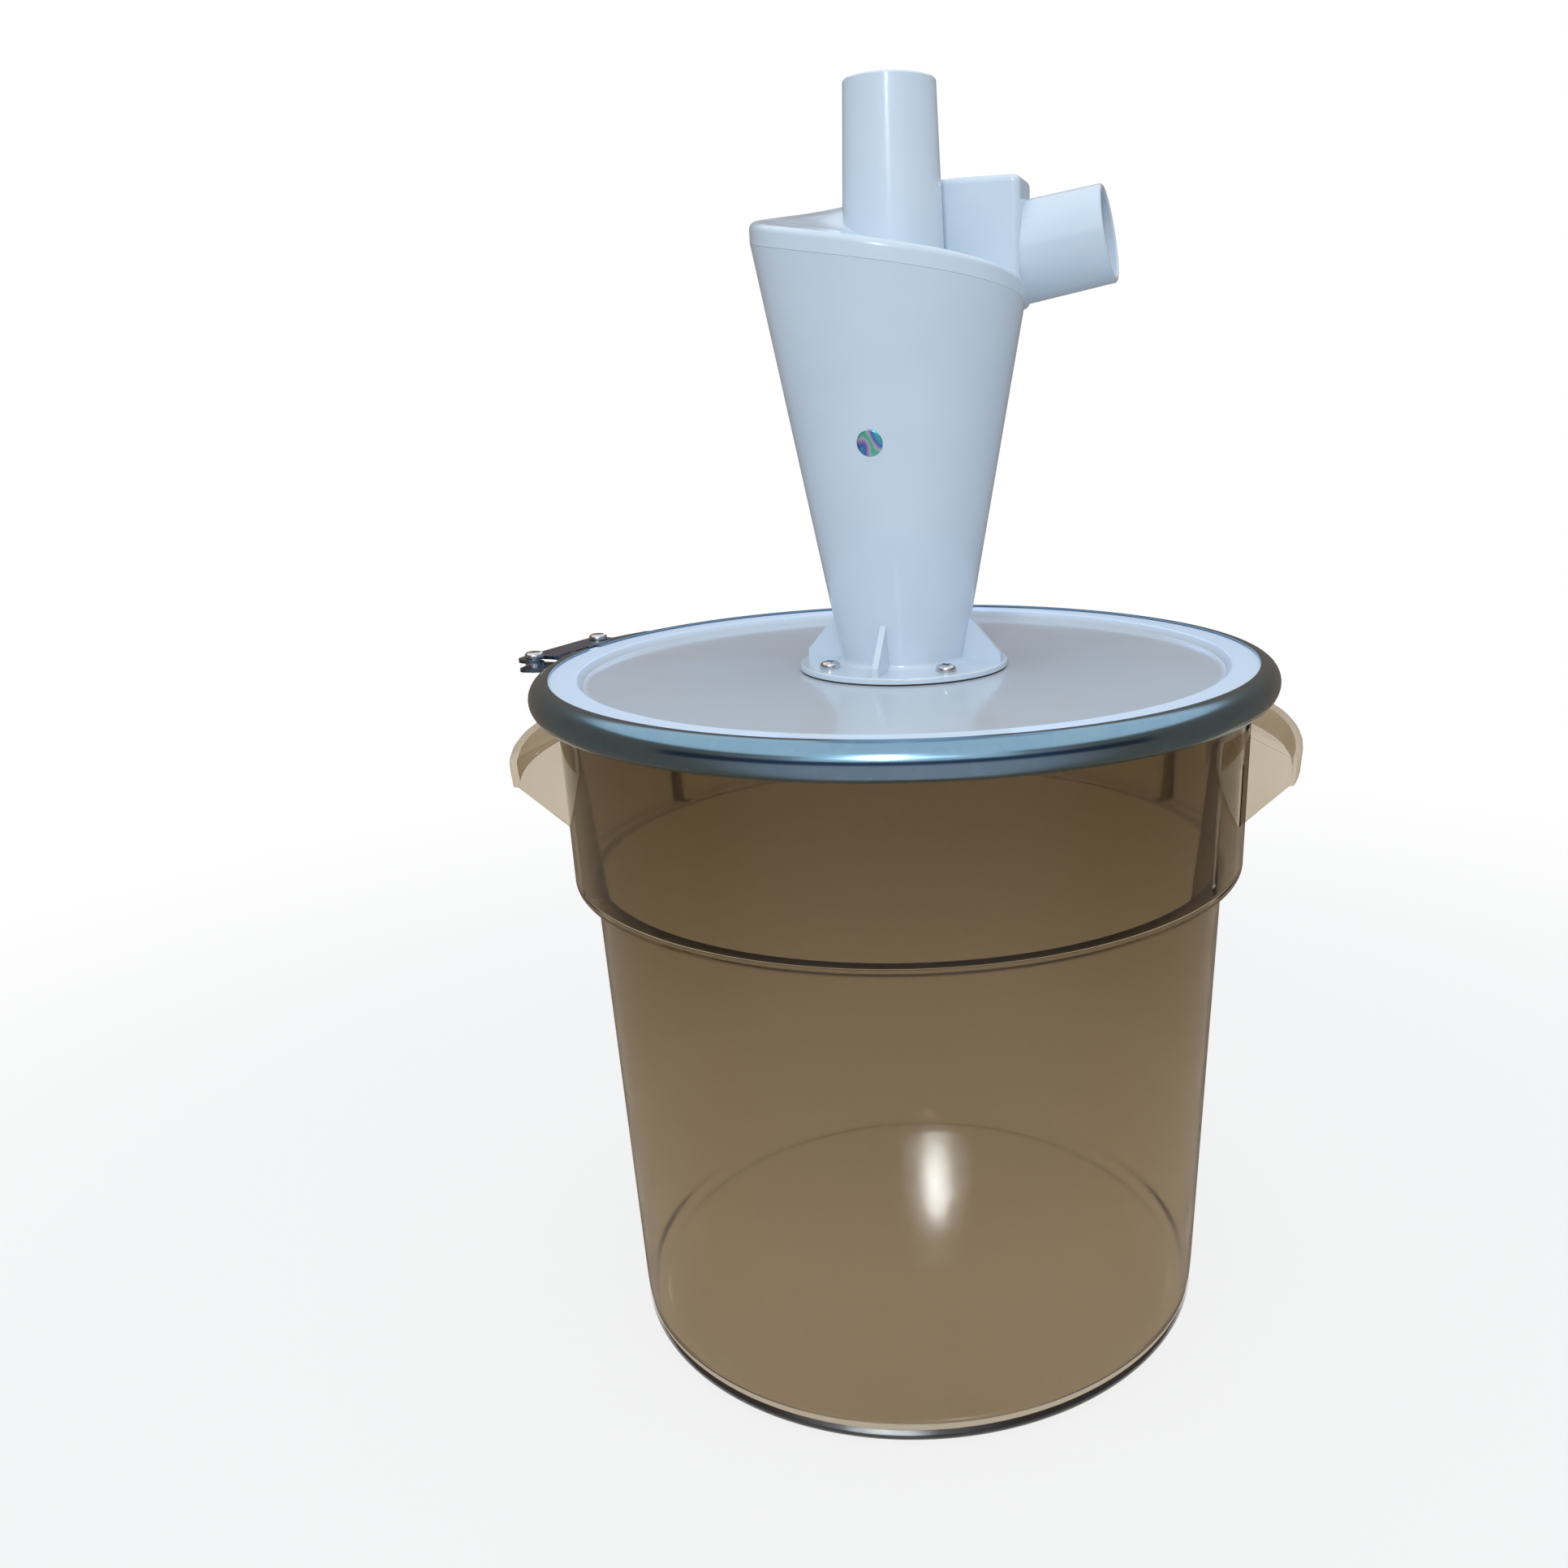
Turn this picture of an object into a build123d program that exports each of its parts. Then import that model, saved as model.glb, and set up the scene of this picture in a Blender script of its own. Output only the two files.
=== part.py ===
from build123d import *
import math
import os

os.makedirs("parts", exist_ok=True)

# Cyclone dust separator on a clear bucket, in millimetres.
# Z is the bucket's axis, the foot stands on Z = 0, the front faces -Y.

# Bucket: foot, tapered wall, ledge, wider collar and rim
bucket_wall = 3.0
foot_radius = 164.6
foot_bevel = 4.0
floor_thick = 3.5
floor_bevel = 7.0
wall_height = 265.5
wall_flare = 10.4
ledge_step = 10.4
ledge_thick = 3.0
ledge_bevel = 1.2
collar_height = 92.1
collar_flare = 1.8
rim_thick = 6.0
rim_overhang = 9.3
rim_bevel = 1.2

# Bucket ears: hooded finger grips with a web at each end, turned a little about the axis
ear_turn = -5.0
ear_half_span = 20.0
ear_reach = 26.6
ear_sink = 1.2
ear_drop = 9.6
ear_slope = 12.0
ear_height = 29.0
ear_lip_tuck = 1.3
ear_thick = 3.6
ear_nose_round = 8.0
ear_web_angle = 1.1
ear_web_height = 55.0

# Stacking ribs inside the collar
rib_half_span = 30.0
rib_angle = 1.7
rib_drop = 10.6
rib_sink = 1.0
rib_top_depth = 4.0

# Lid: recessed plate with a groove for its gasket and a plug that drops into the bucket
lid_thick = 3.0
lid_overhang = 0.5
lid_recess = 4.0
lid_lip = 3.0
lid_bevel = 4.0
recess_margin = 24.5
recess_slope = 3.5
recess_round = 1.2
plug_thick = 3.0
plug_depth = 14.0
plug_clearance = 0.7
lid_rim_clearance = 0.6
dust_hole_gap = 0.8
gasket_width = 7.6
gasket_thick = 5.4
gasket_side_gap = 0.2

# Clamp ring: half round channel, open inward, with a gap between its ends
ring_bite = 5.3
ring_lid_gap = 0.4
ring_rim_gap = 2.0
ring_thick = 0.9
ring_lip = 1.3
ring_gap_start = 161.0
ring_gap_angle = 3.5

# Latch on the clamp ring: standoffs are from the ring's outer face
strap_thick = 1.5
strap_half_angle = 50.0
tongue_thick = 2.0
tongue_margin = 5.5
tongue_round = 4.5
bracket_angle = 6.2
pivot_angle = 157.7
pivot_standoff = 19.0
link_pin_angle = 151.1
link_pin_standoff = 16.0
catch_pin_angle = 168.0
catch_pin_standoff = 18.5
pin_radius = 3.0
pin_gap = 0.35
layer_gap = 0.3
head_radius = 5.5
head_height = 3.2
head_round = 2.4
foot_head_radius = 5.0
foot_head_height = 1.6
foot_head_bevel = 0.8
sunk_head_depth = 1.4
sunk_head_flare = 2.0
lever_thick = 2.0
lever_gap = 6.0
lever_width = 16.0
lever_sweep = 18.5
lever_root_back = 1.2
lever_corner_round = 5.0
lever_pad_radius = 9.0
lever_flange_drop = 9.0
lever_flange_sink = 0.5
lever_flange_inset = 1.6
lever_flange_sweep = 12.0
link_thick = 2.0
link_half_width = 9.0
notch_back = 0.6
notch_front = 6.5

# Cyclone: clocking about the axis and the mounting flange
clock = -16.0
flange_gasket_thick = 1.0
flange_gasket_inset = 0.5
flange_thick = 3.0
flange_width = 23.6
flange_round = 1.0
neck_round = 3.0
screw_count = 4
screw_turn = 45.0
screw_radius = 2.5
screw_hole_gap = 0.3
screw_head_radius = 5.4
screw_head_height = 3.6
screw_head_round = 2.4
screw_length = 15.0
cross_width = 1.3
cross_length = 6.0
cross_depth = 1.7
washer_radius = 5.5
washer_thick = 1.0
nut_across = 8.0
nut_thick = 4.0
gusset_thick = 3.2
gusset_inset = 2.3
gusset_foot_height = 4.5
gusset_height = 24.5
gusset_sink = 0.5

# Cyclone: cone, helical seam and roof
shell = 3.0
neck_radius = 33.2
cone_top_radius = 78.1
cyclone_height = 245.7
seam_gap = 0.1
helix_start = 90.0
helix_pitch = 68.15
skirt_height = 10.0
roof_edge_round = 3.5
section_step = 15.0

# Cyclone: outlet tube, measured from the roof's highest point
outlet_rise = 43.3
outlet_bore = 21.0
outlet_top_radius = 23.2
outlet_foot_radius = 27.0
vortex_wall = 3.5
vortex_depth = 98.7
pipe_rim_bevel = 0.8

# Cyclone: inlet duct and pipe
duct_length = 61.0
duct_overlap = 4.5
duct_height = 63.7
duct_corner_round = 30.0
duct_edge_round = 4.0
inlet_inset = 28.27
inlet_drop = 35.2
inlet_rise = 9.5
inlet_foot_radius = 26.0
inlet_mouth_radius = 24.6
inlet_bore = 21.8
inlet_length = 43.0
inlet_sink = 22.0

# Sizes that follow from the ones above: bucket and lid
ledge_low_radius = foot_radius + wall_flare
collar_low_radius = ledge_low_radius + ledge_step
collar_top_radius = collar_low_radius + collar_flare
ledge_height = wall_height + ledge_thick
rim_low = ledge_height + collar_height
rim_top = rim_low + rim_thick
rim_radius = collar_top_radius + rim_overhang
mouth_radius = collar_top_radius - bucket_wall
ear_top = rim_low - ear_drop
ear_lip = ear_top - ear_height
ear_root = collar_top_radius - ear_sink
ear_nose = collar_top_radius + ear_reach
rib_top = rim_low - rib_drop
groove_top = rim_top + gasket_thick
lid_top = groove_top + lid_thick
lid_floor = lid_top - lid_recess
lid_under = lid_floor - lid_thick
lid_low = rim_top + lid_rim_clearance
lid_radius = rim_radius + lid_overhang
recess_radius = lid_radius - recess_margin
plug_radius = mouth_radius - plug_clearance
plug_low = groove_top - plug_depth
groove_outer = lid_radius - lid_lip
groove_inner = groove_outer - gasket_width - 2 * gasket_side_gap
dust_hole_radius = neck_radius - shell + dust_hole_gap

# Clamp ring and latch
ring_inner = (lid_top - rim_low + ring_lid_gap + ring_rim_gap) / 2
ring_outer = ring_inner + ring_thick
ring_center_height = rim_low - ring_rim_gap + ring_inner
ring_center_radius = lid_radius - ring_bite
ring_face = ring_center_radius + ring_outer
tongue_low = ring_center_height - tongue_thick / 2
tongue_top = tongue_low + tongue_thick
lever_low = tongue_top + layer_gap
lever_top = lever_low + lever_thick
lever_inner = ring_face + lever_gap
lever_outer = lever_inner + lever_width
lever_root_angle = pivot_angle - lever_root_back
lever_end_angle = lever_root_angle - lever_sweep
link_low = lever_top + layer_gap
head_low = link_low + link_thick + layer_gap

# Cyclone
flange_low = lid_floor + flange_gasket_thick
flange_top = flange_low + flange_thick
flange_radius = neck_radius + flange_width
screw_circle_radius = (neck_radius + flange_radius) / 2
nut_low = lid_under - washer_thick - nut_thick
gusset_foot_radius = flange_radius - gusset_inset
gusset_top = flange_top + gusset_height
roof_start = flange_top + cyclone_height
outlet_top = roof_start + outlet_rise
outlet_foot = roof_start - helix_pitch - shell
vortex_low = roof_start - vortex_depth
duct_floor = roof_start - duct_height
duct_inner = outlet_bore + vortex_wall - duct_overlap


def radial_plane(angle):
    # Upright plane through the axis: its x runs outward at this angle, its y runs up.
    a = math.radians(angle)
    return Plane(
        origin=(0, 0, 0),
        x_dir=(math.cos(a), math.sin(a), 0),
        z_dir=(math.sin(a), -math.cos(a), 0),
    )


def on_circle(radius, angle):
    a = math.radians(angle)
    return (radius * math.cos(a), radius * math.sin(a))


def turned(x, y, z):
    # A point of the cyclone's own frame, turned by the clocking angle.
    a = math.radians(clock)
    return (x * math.cos(a) - y * math.sin(a), x * math.sin(a) + y * math.cos(a), z)


def cone_radius(z):
    return neck_radius + (cone_top_radius - neck_radius) * (z - flange_top) / cyclone_height


def roof_height(angle):
    # The roof falls steadily, counter-clockwise seen from above.
    return roof_start - helix_pitch * (angle - helix_start) / 360.0


def seam_height(angle):
    return roof_height(angle) - skirt_height


def half_turn(start):
    count = round(180.0 / section_step)
    return [start + section_step * i for i in range(count + 1)]


pivot_at = on_circle(ring_face + pivot_standoff, pivot_angle)
link_pin_at = on_circle(ring_face + link_pin_standoff, link_pin_angle)
catch_pin_at = on_circle(ring_face + catch_pin_standoff, catch_pin_angle)
duct_outer = cone_radius(seam_height(helix_start))
inlet_side = duct_outer - inlet_inset

# Bucket: one revolved clear shell with a stepped collar, two grip ears and four stacking ribs
with BuildPart() as bucket:
    with BuildSketch(radial_plane(0)):
        with BuildLine():
            Polyline(
                (0, 0),
                (foot_radius, 0),
                (ledge_low_radius, wall_height),
                (collar_low_radius, wall_height),
                (collar_low_radius, ledge_height),
                (collar_top_radius, rim_low),
                (rim_radius, rim_low),
                (rim_radius, rim_top),
                (mouth_radius, rim_top),
                (mouth_radius, rim_low),
                (collar_low_radius - bucket_wall, ledge_height),
                (ledge_low_radius - bucket_wall, ledge_height),
                (foot_radius - bucket_wall, floor_thick),
                (0, floor_thick),
                close=True,
            )
        make_face()
        chamfer(vertices().sort_by_distance((foot_radius, 0))[0], foot_bevel)
        chamfer(vertices().sort_by_distance((foot_radius - bucket_wall, floor_thick))[0], floor_bevel)
        chamfer(vertices().sort_by_distance((collar_low_radius, wall_height))[0], ledge_bevel)
        chamfer(vertices().sort_by_distance((rim_radius, rim_low))[0], rim_bevel)
        chamfer(vertices().sort_by_distance((rim_radius, rim_top))[0], rim_bevel)
    revolve(axis=Axis.Z)
    for side in (0.0, 180.0):
        middle = ear_turn + side
        with BuildSketch(radial_plane(middle - ear_half_span)):
            with BuildLine():
                FilletPolyline(
                    (ear_root, ear_top),
                    (ear_nose, ear_top - ear_slope),
                    (ear_nose - ear_lip_tuck, ear_lip),
                    radius=ear_nose_round,
                )
                offset(amount=ear_thick, side=Side.RIGHT)
            make_face()
        revolve(axis=Axis.Z, revolution_arc=2 * ear_half_span)
        for web_start in (middle - ear_half_span, middle + ear_half_span - ear_web_angle):
            with BuildSketch(radial_plane(web_start)):
                with BuildLine():
                    Polyline(
                        (ear_root, ear_top - ear_thick / 2),
                        (ear_nose - ear_thick, ear_top - ear_slope - ear_thick / 2),
                        (ear_nose - ear_lip_tuck - ear_thick / 2, ear_lip),
                        (collar_low_radius - ear_sink, ear_top - ear_web_height),
                        (collar_low_radius - ear_sink, ear_top - ear_thick / 2),
                        close=True,
                    )
                make_face()
            revolve(axis=Axis.Z, revolution_arc=ear_web_angle)
        for rib_middle in (middle - rib_half_span, middle + rib_half_span):
            with BuildSketch(radial_plane(rib_middle - rib_angle / 2)):
                with BuildLine():
                    Polyline(
                        (ledge_low_radius - bucket_wall, ledge_height - rib_sink),
                        (collar_low_radius - rib_sink, ledge_height - rib_sink),
                        (collar_low_radius - rib_sink, rib_top),
                        (mouth_radius - rib_top_depth, rib_top),
                        close=True,
                    )
                make_face()
            revolve(axis=Axis.Z, revolution_arc=rib_angle)
bucket.part.label = "bucket"
export_step(bucket.part, "parts/bucket.step")

# Lid: recessed plate, groove for the gasket, plug that drops into the bucket
with BuildPart() as lid:
    with BuildSketch(radial_plane(0)):
        with BuildLine():
            Polyline(
                (dust_hole_radius, lid_under),
                (recess_radius + lid_thick / 2, lid_under),
                (recess_radius + lid_thick / 2 + recess_slope, groove_top),
                (plug_radius - plug_thick, groove_top),
                (plug_radius - plug_thick, plug_low),
                (plug_radius, plug_low),
                (plug_radius, lid_low),
                (groove_inner, lid_low),
                (groove_inner, groove_top),
                (groove_outer, groove_top),
                (groove_outer, lid_low),
                (lid_radius, lid_low),
                (lid_radius, lid_top),
                (recess_radius + recess_slope, lid_top),
                (recess_radius, lid_floor),
                (dust_hole_radius, lid_floor),
                close=True,
            )
        make_face()
        chamfer(vertices().sort_by_distance((lid_radius, lid_top))[0], lid_bevel)
        fillet(vertices().sort_by_distance((recess_radius + recess_slope, lid_top))[0], recess_round)
        fillet(vertices().sort_by_distance((recess_radius, lid_floor))[0], recess_round)
    revolve(axis=Axis.Z)
    with BuildSketch(Plane.XY.offset(lid_floor)):
        with PolarLocations(screw_circle_radius, screw_count, start_angle=screw_turn + clock):
            Circle(screw_radius + screw_hole_gap)
    extrude(amount=-lid_thick, mode=Mode.SUBTRACT)
lid.part.label = "lid"
export_step(lid.part, "parts/lid.step")

# Lid gasket: square rubber ring between the lid's groove and the bucket's rim
with BuildPart() as lid_gasket:
    with BuildSketch(Plane.XY.offset(rim_top)):
        Circle(groove_outer - gasket_side_gap)
        Circle(groove_inner + gasket_side_gap, mode=Mode.SUBTRACT)
    extrude(amount=gasket_thick)
lid_gasket.part.label = "lid_gasket"
export_step(lid_gasket.part, "parts/lid_gasket.step")

# Clamp ring: split steel channel of half round section
with BuildPart() as clamp_ring:
    with BuildSketch(radial_plane(ring_gap_start + ring_gap_angle)):
        with BuildLine():
            outer_arc = CenterArc((ring_center_radius, ring_center_height), ring_outer, -90, 180)
            inner_arc = CenterArc((ring_center_radius, ring_center_height), ring_inner, -90, 180)
            Polyline(
                outer_arc @ 1,
                (ring_center_radius - ring_lip, ring_center_height + ring_outer),
                (ring_center_radius - ring_lip, ring_center_height + ring_inner),
                inner_arc @ 1,
            )
            Polyline(
                outer_arc @ 0,
                (ring_center_radius - ring_lip, ring_center_height - ring_outer),
                (ring_center_radius - ring_lip, ring_center_height - ring_inner),
                inner_arc @ 0,
            )
        make_face()
    revolve(axis=Axis.Z, revolution_arc=360 - ring_gap_angle)
clamp_ring.part.label = "clamp_ring"
export_step(clamp_ring.part, "parts/clamp_ring.step")


def strap_section(standoff, angle):
    # Section of a strap that lies on the ring's outside, with a flat tongue for a pin.
    tongue_root = ring_face + strap_thick / 2
    with BuildSketch(radial_plane(angle - bracket_angle / 2)) as section:
        with BuildLine():
            strap_out = CenterArc(
                (ring_center_radius, ring_center_height),
                ring_outer + strap_thick,
                -strap_half_angle,
                2 * strap_half_angle,
            )
            strap_in = CenterArc(
                (ring_center_radius, ring_center_height),
                ring_outer,
                -strap_half_angle,
                2 * strap_half_angle,
            )
            Line(strap_out @ 0, strap_in @ 0)
            Line(strap_out @ 1, strap_in @ 1)
        make_face()
        with Locations((tongue_root, ring_center_height)):
            Rectangle(
                ring_face + standoff + tongue_margin - tongue_root,
                tongue_thick,
                align=(Align.MIN, Align.CENTER),
            )
    return section.sketch


def tongue_tip(standoff, angle):
    return (*on_circle(ring_face + standoff + tongue_margin, angle), ring_center_height)


hinge_section = strap_section(pivot_standoff, pivot_angle)
hinge_tip = tongue_tip(pivot_standoff, pivot_angle)
catch_section = strap_section(catch_pin_standoff, catch_pin_angle)
catch_tip = tongue_tip(catch_pin_standoff, catch_pin_angle)

# Hinge bracket: carries the lever's pivot on one end of the ring
with BuildPart() as hinge_bracket:
    revolve(hinge_section, axis=Axis.Z, revolution_arc=bracket_angle)
    fillet(edges().filter_by(Axis.Z).sort_by_distance(hinge_tip)[0:2], tongue_round)
    with BuildSketch(Plane.XY.offset(tongue_low)):
        with Locations(pivot_at):
            Circle(pin_radius)
    extrude(amount=tongue_thick, mode=Mode.SUBTRACT)
hinge_bracket.part.label = "hinge_bracket"
export_step(hinge_bracket.part, "parts/hinge_bracket.step")

# Catch bracket: carries the catch pin on the ring's other end
with BuildPart() as catch_bracket:
    revolve(catch_section, axis=Axis.Z, revolution_arc=bracket_angle)
    fillet(edges().filter_by(Axis.Z).sort_by_distance(catch_tip)[0:2], tongue_round)
    with BuildSketch(Plane.XY.offset(tongue_low)):
        with Locations(catch_pin_at):
            Circle(pin_radius)
    extrude(amount=tongue_thick, mode=Mode.SUBTRACT)
catch_bracket.part.label = "catch_bracket"
export_step(catch_bracket.part, "parts/catch_bracket.step")

# Latch lever: curved handle with a turned down outer flange and a pad round its pivot
with BuildPart() as latch_lever:
    with BuildSketch(radial_plane(lever_end_angle)):
        with Locations((lever_inner, lever_low)):
            Rectangle(lever_width, lever_thick, align=(Align.MIN, Align.MIN))
    revolve(axis=Axis.Z, revolution_arc=lever_sweep)
    free_end = (*on_circle(lever_inner + lever_width / 2, lever_end_angle), lever_low)
    fillet(edges().filter_by(Axis.Z).sort_by_distance(free_end)[0:2], lever_corner_round)
    with BuildSketch(radial_plane(lever_end_angle + lever_flange_inset)):
        with Locations((lever_outer, lever_top - lever_flange_sink)):
            Rectangle(
                lever_thick,
                lever_flange_drop - lever_flange_sink,
                align=(Align.MAX, Align.MAX),
            )
    revolve(axis=Axis.Z, revolution_arc=lever_flange_sweep - lever_flange_inset)
    with BuildSketch(Plane.XY.offset(lever_low)):
        with Locations(pivot_at):
            Circle(lever_pad_radius)
    extrude(amount=lever_thick)
    with BuildSketch(Plane.XY.offset(lever_low)):
        with Locations(pivot_at):
            Circle(pin_radius + pin_gap)
        with Locations(link_pin_at):
            Circle(pin_radius)
    extrude(amount=lever_thick, mode=Mode.SUBTRACT)
    with Locations((*pivot_at, lever_top - sunk_head_depth)):
        Cone(
            bottom_radius=pin_radius + pin_gap,
            top_radius=pin_radius + pin_gap + sunk_head_flare,
            height=sunk_head_depth,
            align=(Align.CENTER, Align.CENTER, Align.MIN),
            mode=Mode.SUBTRACT,
        )
latch_lever.part.label = "latch_lever"
export_step(latch_lever.part, "parts/latch_lever.step")

# Latch link: flat strip from the lever's pin to the catch pin, with an open hook at the catch
link_run = math.hypot(catch_pin_at[0] - link_pin_at[0], catch_pin_at[1] - link_pin_at[1])
link_plane = Plane(
    origin=(*link_pin_at, link_low),
    x_dir=(catch_pin_at[0] - link_pin_at[0], catch_pin_at[1] - link_pin_at[1], 0),
    z_dir=(0, 0, 1),
)
notch_half = pin_radius + notch_back
with BuildPart() as latch_link:
    with BuildSketch(link_plane):
        with Locations((link_run / 2, 0)):
            Rectangle(link_run, 2 * link_half_width)
        Circle(link_half_width)
        with Locations((link_run, 0)):
            Circle(link_half_width)
        Circle(pin_radius + pin_gap, mode=Mode.SUBTRACT)
        with Locations((link_run, 0)):
            Circle(notch_half, mode=Mode.SUBTRACT)
        with Locations((link_run + notch_half, 0)):
            Rectangle(
                notch_half + notch_front,
                2 * link_half_width,
                align=(Align.MAX, Align.MIN),
                mode=Mode.SUBTRACT,
            )
    extrude(amount=link_thick)
latch_link.part.label = "latch_link"
export_step(latch_link.part, "parts/latch_link.step")

# Pivot rivet: flush above the lever, domed below the tongue
with BuildPart() as pivot_rivet:
    with Locations((*pivot_at, tongue_low)):
        Cylinder(pin_radius, lever_top - tongue_low, align=(Align.CENTER, Align.CENTER, Align.MIN))
        Cylinder(head_radius, head_height, align=(Align.CENTER, Align.CENTER, Align.MAX))
    fillet(edges().group_by(Axis.Z)[0], head_round)
    with Locations((*pivot_at, lever_top - sunk_head_depth)):
        Cone(
            bottom_radius=pin_radius,
            top_radius=pin_radius + sunk_head_flare,
            height=sunk_head_depth,
            align=(Align.CENTER, Align.CENTER, Align.MIN),
        )
pivot_rivet.part.label = "pivot_rivet"
export_step(pivot_rivet.part, "parts/pivot_rivet.step")

# Link rivet: fast in the lever, domed above the link
with BuildPart() as link_rivet:
    with Locations((*link_pin_at, lever_low)):
        Cylinder(pin_radius, head_low - lever_low, align=(Align.CENTER, Align.CENTER, Align.MIN))
        Cylinder(foot_head_radius, foot_head_height, align=(Align.CENTER, Align.CENTER, Align.MAX))
    chamfer(edges().group_by(Axis.Z)[0], foot_head_bevel)
    with Locations((*link_pin_at, head_low)):
        Cylinder(head_radius, head_height, align=(Align.CENTER, Align.CENTER, Align.MIN))
    fillet(edges().group_by(Axis.Z)[-1], head_round)
link_rivet.part.label = "link_rivet"
export_step(link_rivet.part, "parts/link_rivet.step")

# Catch pin: shouldered on the catch bracket's tongue, domed above the link's hook
with BuildPart() as catch_pin:
    with Locations((*catch_pin_at, tongue_low)):
        Cylinder(pin_radius, head_low - tongue_low, align=(Align.CENTER, Align.CENTER, Align.MIN))
        Cylinder(foot_head_radius, foot_head_height, align=(Align.CENTER, Align.CENTER, Align.MAX))
    chamfer(edges().group_by(Axis.Z)[0], foot_head_bevel)
    with Locations((*catch_pin_at, tongue_top)):
        Cylinder(head_radius, lever_top - tongue_top, align=(Align.CENTER, Align.CENTER, Align.MIN))
    with Locations((*catch_pin_at, head_low)):
        Cylinder(head_radius, head_height, align=(Align.CENTER, Align.CENTER, Align.MIN))
    fillet(edges().group_by(Axis.Z)[-1], head_round)
catch_pin.part.label = "catch_pin"
export_step(catch_pin.part, "parts/catch_pin.step")

# Cyclone cone: conical shell with the mounting flange and four gussets, cut at a helical seam
cone_high = roof_start + shell
cutter_inner = neck_radius - 2 * shell
cutter_outer = cone_top_radius + 4 * shell
with BuildPart() as cyclone_cone:
    with BuildSketch(radial_plane(0)):
        with BuildLine():
            Polyline(
                (neck_radius - shell, flange_low),
                (flange_radius, flange_low),
                (flange_radius, flange_top),
                (neck_radius, flange_top),
                (cone_radius(cone_high), cone_high),
                (cone_radius(cone_high) - shell, cone_high),
                (neck_radius - shell, flange_top),
                close=True,
            )
        make_face()
        fillet(vertices().sort_by_distance((flange_radius, flange_top))[0], flange_round)
        fillet(vertices().sort_by_distance((neck_radius, flange_top))[0], neck_round)
    revolve(axis=Axis.Z)
    for quarter in range(screw_count):
        with BuildSketch(radial_plane(clock + 360.0 / screw_count * quarter)):
            with BuildLine():
                Polyline(
                    (neck_radius - gusset_sink, flange_top - gusset_sink),
                    (gusset_foot_radius, flange_top - gusset_sink),
                    (gusset_foot_radius, flange_top + gusset_foot_height),
                    (cone_radius(gusset_top) - gusset_sink, gusset_top),
                    close=True,
                )
            make_face()
        extrude(amount=gusset_thick / 2, both=True)
    for start in (helix_start, helix_start + 180.0):
        for angle in half_turn(start):
            with BuildSketch(radial_plane(angle + clock)):
                with BuildLine():
                    Polyline(
                        (cutter_inner, seam_height(angle)),
                        (cutter_outer, seam_height(angle)),
                        (cutter_outer, cone_high + shell),
                        (cutter_inner, cone_high + shell),
                        close=True,
                    )
                make_face()
        loft(mode=Mode.SUBTRACT)
    with BuildSketch(Plane.XY.offset(flange_top)):
        with PolarLocations(screw_circle_radius, screw_count, start_angle=screw_turn + clock):
            Circle(screw_radius + screw_hole_gap)
    extrude(amount=-flange_thick, mode=Mode.SUBTRACT)
cyclone_cone.part.label = "cyclone_cone"
export_step(cyclone_cone.part, "parts/cyclone_cone.step")

# Outside of the inlet duct: a box whose free edges are rounded, joined to the head below
with BuildPart() as duct_box:
    with BuildSketch(Plane.XY.offset(duct_floor).rotated((0, 0, clock))):
        with Locations((seam_gap, duct_inner)):
            Rectangle(duct_length - seam_gap, duct_outer - duct_inner, align=(Align.MIN, Align.MIN))
        fillet(vertices().sort_by_distance((duct_length, duct_outer))[0], duct_corner_round)
        fillet(vertices().sort_by_distance((duct_length, duct_inner))[0], duct_edge_round)
    extrude(amount=duct_height)
    for level in (0, -1):
        face = faces().sort_by(Axis.Z)[level]
        end = turned(duct_length, (duct_inner + duct_outer) / 2, face.center().Z)
        fillet(face.edges().sort_by_distance(end)[0:-1], roof_edge_round)

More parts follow.
